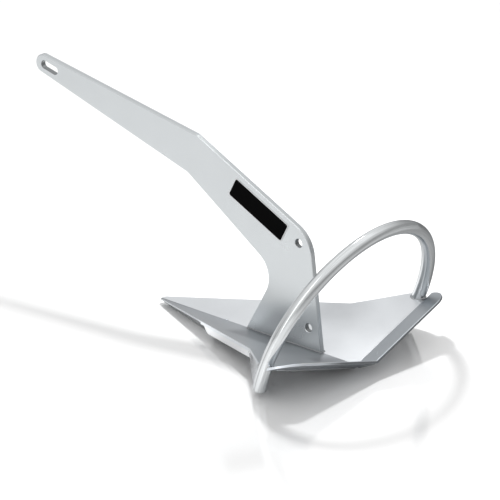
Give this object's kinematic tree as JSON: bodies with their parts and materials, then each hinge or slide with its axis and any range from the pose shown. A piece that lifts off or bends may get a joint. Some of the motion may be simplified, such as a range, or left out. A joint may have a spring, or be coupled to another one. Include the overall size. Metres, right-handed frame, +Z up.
{
  "type": "scoop anchor",
  "caption": "Roll-bar scoop anchor for a small boat: folded arrowhead blade, tubular hoop, curved plate shank with shackle slot and trip-line holes.",
  "frame": {"origin": "on the ground, under the middle of the whole anchor's length and width", "axes": "+X towards the heel and the roll bar, -X towards the shackle end, +Y to the right wing, +Z up"},
  "size_m": [0.6971, 0.4006, 0.3486],
  "materials": {
    "zinc_plate": "hot-dip galvanised, dull grey with a soft mottled sheen",
    "zinc_shank": "hot-dip galvanised, dull grey with a soft mottled sheen",
    "zinc_pipe": "hot-dip galvanised pipe, brighter and glossier than the plate",
    "weld": "weld bead under the zinc, rippled",
    "label": "black film with a pale rim, blank"
  },
  "bodies": {
    "root": {"blade": "zinc_plate", "shank": "zinc_shank", "roll_bar": "zinc_pipe", "toe_block": "zinc_plate", "label": "label", "heel_lip_left": "zinc_plate", "heel_lip_right": "zinc_plate", "edge_rail_left": "zinc_plate", "edge_rail_right": "zinc_plate", "skid_left": "zinc_plate", "skid_right": "zinc_plate", "shank_weld_left": "weld", "shank_weld_right": "weld"}
  },
  "joints": []
}
